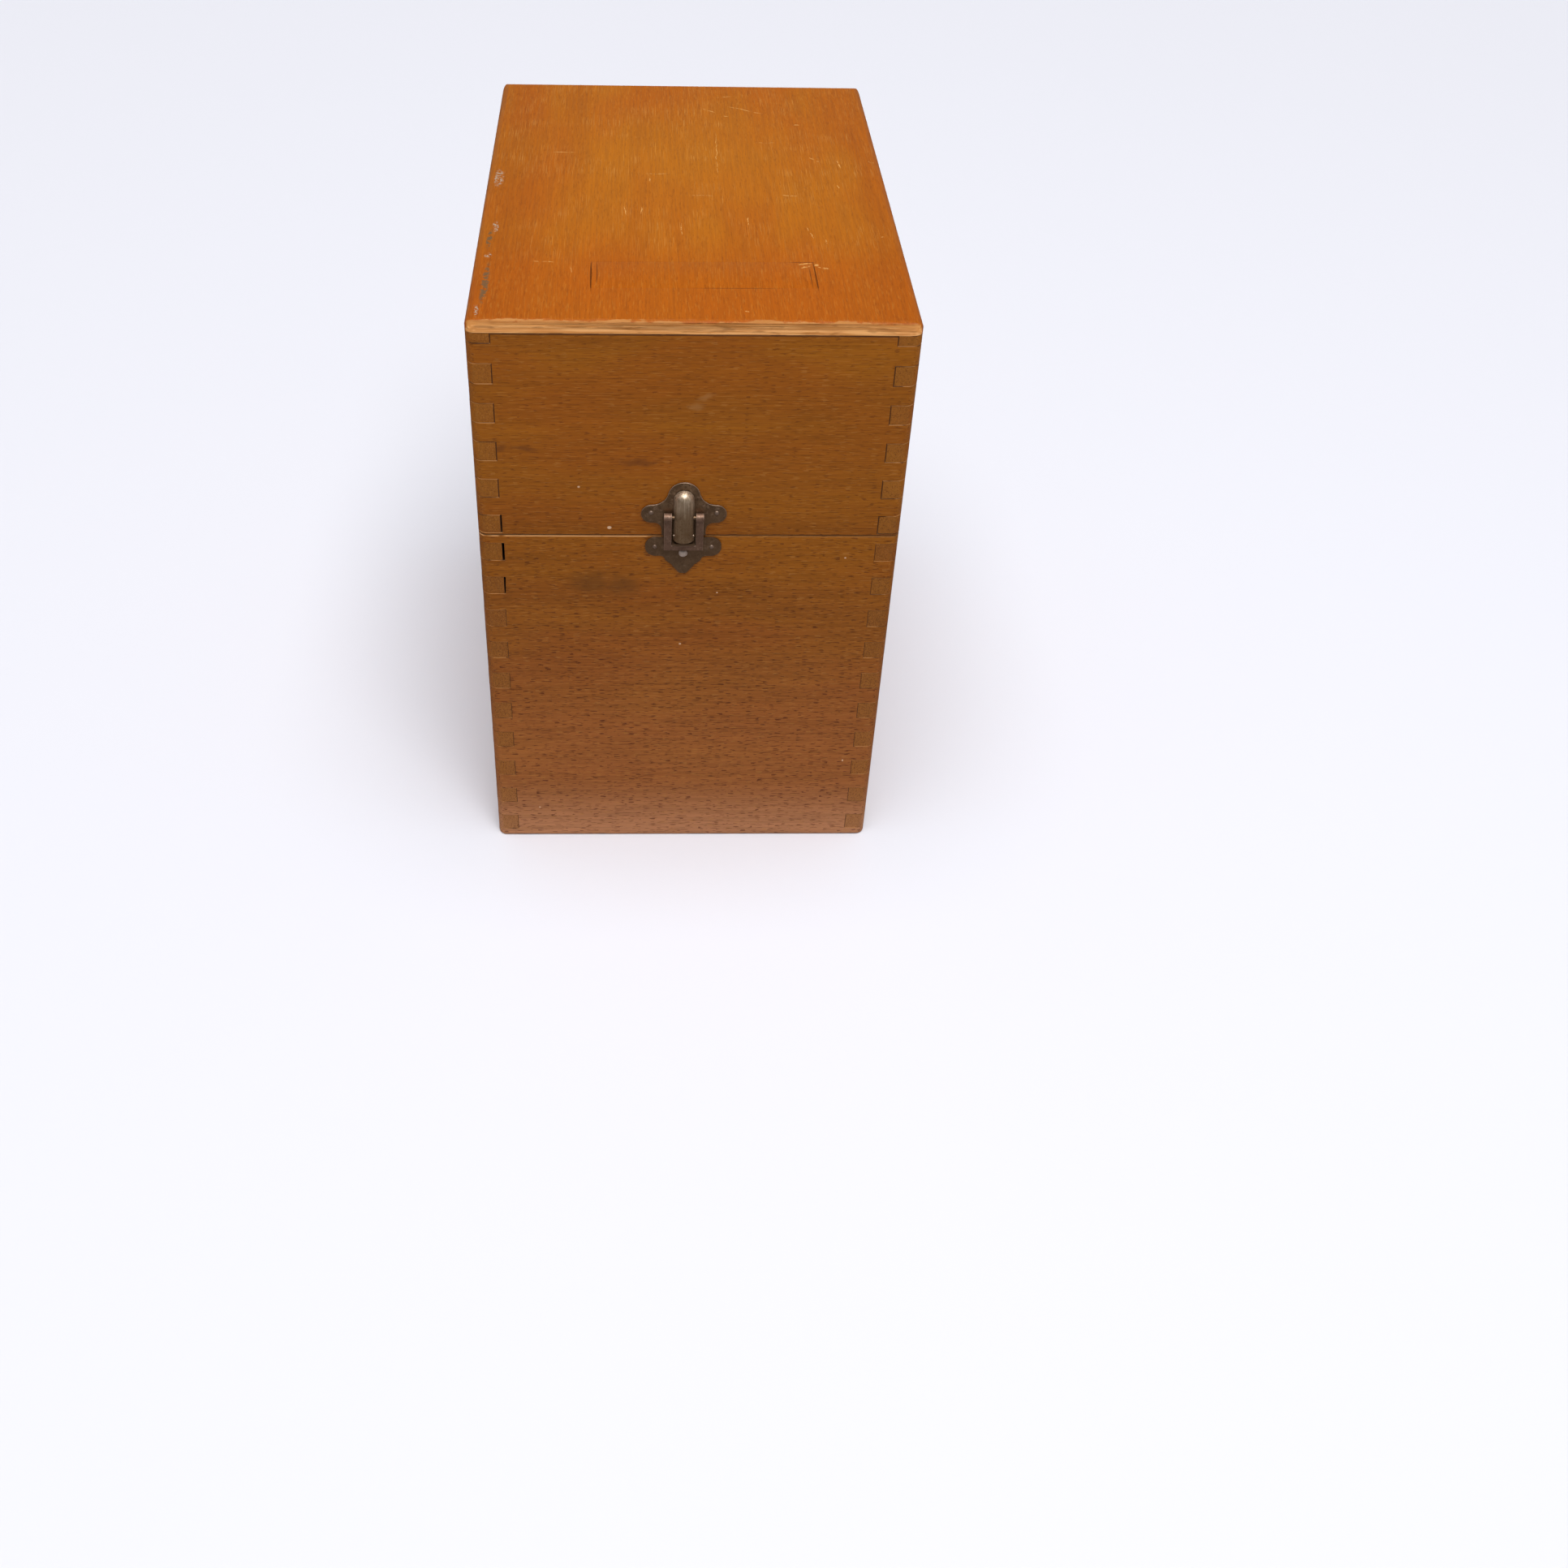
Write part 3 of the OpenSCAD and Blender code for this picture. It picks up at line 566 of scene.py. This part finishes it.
# ---- Metal ----
def bronze_look(name, dark, light, bright, roughness, rub, metal, painted_highlight=None, drawn=0.0):
    """Antique bronze: patina between dark and light, rubbed to bright on edges, with painted highlights on
    upward edges and high places.

    painted_highlight is a height without the painted highlight, a height where it is full and its amount;
    drawn is the amount of upright streaks."""
    look = Look(name)
    cloud = look.step(look.noise(look.position, 5, 5, 1, 3), 0.35, 0.65)
    colour = look.mix(cloud, dark, light)
    grime = look.step(look.noise(look.position, 1.3, 1.3, 2, 2), 0.52, 0.66)
    grime_colour = tuple(c * 0.45 for c in dark)
    colour = look.mix(look.product(grime, 0.45), colour, grime_colour)
    scuffed = look.step(look.noise(look.position, 2.0, 2.0, 3, 3), 0.56, 0.68)
    colour = look.mix(look.product(scuffed, rub), colour, bright)
    # Rounded edges go bright where rubbed, most where they face up: wear, with a painted highlight on the
    # upward edges
    upward = look.step(look.nz, -0.3, 0.6, 0.35, 1.0)
    rubbed = look.product(look.edge, upward, look.step(look.noise(look.position, 3, 3, 4, 2), 0.18, 0.42))
    colour = look.mix(rubbed, colour, bright)
    # Darker towards the bottom, from SEAM_Z + 24 down
    colour = look.mix(look.step(look.z, SEAM_Z + 24, SEAM_Z + 6, 0.0, 0.65), colour, dark)
    # Painted highlight between two heights
    if painted_highlight:
        no_highlight_z, full_highlight_z, amount = painted_highlight
        colour = look.mix(look.step(look.z, no_highlight_z, full_highlight_z, 0.0, amount), colour, bright)
    if drawn:
        upright = look.noise(look.combine(look.z, look.x, look.y), 16, 0.7, 6, 2)
        colour = look.mix(look.step(upright, 0.42, 0.64, 0.0, drawn), colour, dark)
    pits = look.noise(look.position, 0.5, 0.5, 5, 2)
    rough = look.calc("ADD", look.step(cloud, 0, 1, roughness, roughness + 0.10), look.product(grime, 0.12))
    return look.finish(colour, pits, 0.03, rough, 0.5, metal)


# ---- Meshes ----
# Widths of the rounded edges, in millimetres
BOARD_EDGE = 0.28
FOOT_EDGE = 1.2
FOOT_MARK = 0.5  # its edge attribute, for less grime than on the other edges
PANEL_EDGE = 0.2
PATCH_EDGE = 0.08
SMALL_EDGE = 0.12
METAL_EDGES = {"catch_lid_plate": 0.58, "catch_hook_plate": 0.58, "catch_lever": 0.25, "catch_bail": 0.35}
PATCH_PLAY = 0.2  # gap at each end of the patch
FRONT_ROUND = 3.0  # radius of the top panel's front edge
CHIP_CUTS = 140
TOP_SEED = 40  # the panel and its patch share it, so that their grain runs through


def between(value, low, high):
    return low - 0.01 <= value <= high + 0.01


def cad_mesh(name):
    """The CAD node as a bmesh in millimetres, with its flat faces joined up."""
    bm = bmesh.new()
    bm.from_mesh(NODES[name].data)
    bmesh.ops.scale(bm, vec=(1 / MM,) * 3, verts=bm.verts)
    bmesh.ops.remove_doubles(bm, verts=bm.verts, dist=0.002)
    bmesh.ops.dissolve_limit(bm, angle_limit=math.radians(1), verts=bm.verts, edges=bm.edges)
    return bm


def round_edges(bm, edges, width, segments=2, mark=1.0):
    """Bevels edges and sets the edge attribute of the new faces to mark."""
    layer = bm.faces.layers.float.get("edge") or bm.faces.layers.float.new("edge")
    made = bmesh.ops.bevel(
        bm, geom=edges, offset=width, offset_type="OFFSET", segments=segments, profile=0.5,
        affect="EDGES", clamp_overlap=True,
    )
    for face in made["faces"]:
        face[layer] = mark


def middle_of(edge):
    return (edge.verts[0].co + edge.verts[1].co) / 2


def sharp_edges(bm, angle=30):
    return [e for e in bm.edges if len(e.link_faces) == 2 and e.calc_face_angle(0) > math.radians(angle)]


def finished(bm, name, material):
    """Makes the piece that stands for a CAD node: smooth edges, hard flat faces, one material."""
    for face in bm.faces:
        face.smooth = True
    bmesh.ops.scale(bm, vec=(MM,) * 3, verts=bm.verts)
    mesh = bpy.data.meshes.new(name + "_finished")
    bm.to_mesh(mesh)
    bm.free()
    piece = bpy.data.objects.new(name + "_finished", mesh)
    bpy.context.scene.collection.objects.link(piece)
    piece.modifiers.new("normals", "WEIGHTED_NORMAL").weight = 100
    graph = bpy.context.evaluated_depsgraph_get()
    piece.data = bpy.data.meshes.new_from_object(
        piece.evaluated_get(graph), preserve_all_data_layers=True, depsgraph=graph
    )
    piece.modifiers.clear()
    piece.data.materials.clear()
    piece.data.materials.append(material)
    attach(piece, BODY_OF[name])
    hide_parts(name)


def make_simple(name, width, material):
    bm = cad_mesh(name)
    round_edges(bm, sharp_edges(bm), width)
    finished(bm, name, material)


# Glue joints that have opened at the left front corner: lowest and highest point, and width there
OPEN_JOINTS = {
    "base_front_board": [(185, 195, 1.0, 1.0), (165, 175, 0.4, 0.8)],
    "lid_front_board": [(201, 211, 0.5, 0.5)],
}


def open_joints(bm, name):
    """Widens a finger joint, so that it gapes through the whole board."""
    joint_x = -SIDE_X + BOARD
    for low, high, width_low, width_high in OPEN_JOINTS.get(name, []):
        for v in bm.verts:
            at_joint = between(v.co.x, joint_x, joint_x) and between(v.co.y, FRONT_Y, FRONT_Y + BOARD)
            if at_joint and between(v.co.z, low, high):
                v.co.x += width_low if v.co.z < (low + high) / 2 else width_high


DEEPEST_FINGER = 0.16
LARGEST_FINGER_AREA = 200  # square millimetres


def uneven_fingers(bm, side, seed):
    """Sinks the end of each finger a little, by a different amount."""
    axis, reach = (1, BACK_Y) if side in ("left", "right") else (0, SIDE_X)
    draw = random.Random(seed)
    for face in bm.faces:
        centre = face.calc_center_median()
        outer = abs(face.normal[axis]) > 0.99 and abs(centre[axis]) > reach - 0.05
        if outer and face.calc_area() < LARGEST_FINGER_AREA:
            depth = draw.uniform(0, DEEPEST_FINGER)
            for v in face.verts:
                v.co[axis] -= math.copysign(depth, centre[axis])


def at_foot(edge):
    """True for the outer lower edges of the base."""
    return all(
        v.co.z < 0.01 and (abs(v.co.x) > SIDE_X - NEAR or abs(v.co.y) > BACK_Y - NEAR) for v in edge.verts
    )


def small_round(edge):
    """True for the short edges round a nail or screw hole."""
    middle = middle_of(edge)
    at_corner = abs(middle.x) > SIDE_X - NEAR and abs(middle.y) > BACK_Y - NEAR
    return edge.calc_length() < 1 and not at_corner


def make_boards():
    for part, first_seed in (("base", 0), ("lid", 9)):
        for k, side in enumerate(("front", "back", "left", "right")):
            name = f"{part}_{side}_board"
            bm = cad_mesh(name)
            uneven_fingers(bm, side, first_seed + k)
            open_joints(bm, name)
            if part == "base":
                round_edges(bm, [e for e in sharp_edges(bm) if at_foot(e)], FOOT_EDGE, 3, FOOT_MARK)
            layer = bm.faces.layers.float.get("edge")
            done = {e for f in bm.faces if layer and f[layer] > 0 for e in f.edges}
            left = [e for e in sharp_edges(bm) if e not in done and not small_round(e)]
            round_edges(bm, left, BOARD_EDGE)
            marks = front_marks if side == "front" else None
            finished(bm, name, wall_look(f"{part}_{side}_wood", side, 2.0 * k + first_seed, marks))


def chipped_front(bm):
    """Cuts the rounded front edge of the top panel into short lengths and wears them unevenly."""
    def near_front(v):
        return v.co.y < FRONT_Y + FRONT_ROUND + 0.2 and v.co.z > WALL_TOP + 0.5

    long = [e for e in bm.edges if e.calc_length() > SIDE_X and all(near_front(v) for v in e.verts)]
    bmesh.ops.subdivide_edges(bm, edges=long, cuts=CHIP_CUTS, use_grid_fill=True)
    inward = Vector((0, 0.7, -0.7))
    for v in bm.verts:
        x, y, z = v.co
        if y < FRONT_Y + FRONT_ROUND - 0.4 and z > WALL_TOP + 2 and abs(x) < SIDE_X - NEAR:
            wave = noise.noise(Vector((x * 0.11, z * 0.25, 3)))
            nick = max(0.0, noise.noise(Vector((x * 0.45, z * 0.5, 9))) - 0.15)
            v.co += inward * (0.14 + 0.16 * wave + 0.75 * nick)


def round_patch(edge):
    """True for the edges of the recess that holds the patch, which stay crisp."""
    middle = middle_of(edge)
    return all(PATCH_LO[k] - 1 < middle[k] < PATCH_HI[k] + 1 for k in (0, 1))


def make_top():
    bm = cad_mesh("lid_top_panel")
    chipped_front(bm)
    outer = [e for e in sharp_edges(bm, 50) if e.calc_length() > 3 or e.verts[0].co.z < WALL_TOP + 0.1]
    round_edges(bm, [e for e in outer if not round_patch(e)], PANEL_EDGE)
    finished(bm, "lid_top_panel", top_look("top_wood", TOP_SEED))
    bm = cad_mesh("lid_inlaid_patch")
    for v in bm.verts:
        v.co.x -= math.copysign(PATCH_PLAY, v.co.x)
    ends = [e for e in sharp_edges(bm) if abs((e.verts[1].co - e.verts[0].co).x) < 5]
    round_edges(bm, ends, PATCH_EDGE)
    finished(bm, "lid_inlaid_patch", top_look("patch_wood", TOP_SEED))


# What bronze_look() is given for each kind of piece
METALS = {
    "plate": dict(
        dark=(0.150, 0.088, 0.046), light=(0.250, 0.155, 0.086), bright=(0.98, 0.70, 0.52),
        roughness=0.34, rub=0.16, metal=0.72,
    ),
    # The top of the lever is lightened by a painted highlight
    "lever": dict(
        dark=(0.26, 0.165, 0.090), light=(0.52, 0.38, 0.25), bright=(0.86, 0.72, 0.55),
        roughness=0.46, rub=0.10, metal=0.9, painted_highlight=(SEAM_Z + 12, SEAM_Z + 23, 0.6), drawn=0.6,
    ),
    "worn": dict(
        dark=(0.34, 0.25, 0.19), light=(0.58, 0.45, 0.36), bright=(0.95, 0.80, 0.68),
        roughness=0.28, rub=0.35, metal=1.0,
    ),
    "hinge": dict(
        dark=(0.120, 0.085, 0.050), light=(0.220, 0.160, 0.095), bright=(0.60, 0.46, 0.28),
        roughness=0.38, rub=0.20, metal=1.0,
    ),
    "bail": dict(
        dark=(0.180, 0.102, 0.066), light=(0.290, 0.175, 0.118), bright=(0.84, 0.60, 0.46),
        roughness=0.46, rub=0.30, metal=0.7,
    ),
    # The large nail is lightened by a painted highlight
    "nail": dict(
        dark=(0.24, 0.16, 0.115), light=(0.36, 0.26, 0.20), bright=(0.98, 0.84, 0.74),
        roughness=0.32, rub=0.16, metal=0.7, painted_highlight=(SEAM_Z - 7.6, SEAM_Z - 8.8, 0.6),
    ),
}
METAL_OF_SLOT = {
    "catch_bronze": "plate", "lever_bronze": "lever", "worn_bronze": "worn", "hinge_bronze": "hinge",
}
METAL_OF_NODE = {
    "catch_bail": "bail", "catch_bail_pin": "plate",
    "catch_hook_plate_nails": "nail", "catch_lid_plate_nails": "nail",
}


def make_catch_and_hinges():
    looks = {metal: bronze_look(metal + "_bronze", **values) for metal, values in METALS.items()}
    for name in NODES:
        if name.startswith(("catch_", "hinge_")):
            metal = METAL_OF_NODE.get(name) or METAL_OF_SLOT[SLOT_OF[name]]
            make_simple(name, METAL_EDGES.get(name, SMALL_EDGE), looks[metal])


make_camera()
make_floor()
make_lights()
make_boards()
make_top()
make_simple("base_bottom_panel", PANEL_EDGE, plywood_look("bottom_plywood"))
make_catch_and_hinges()
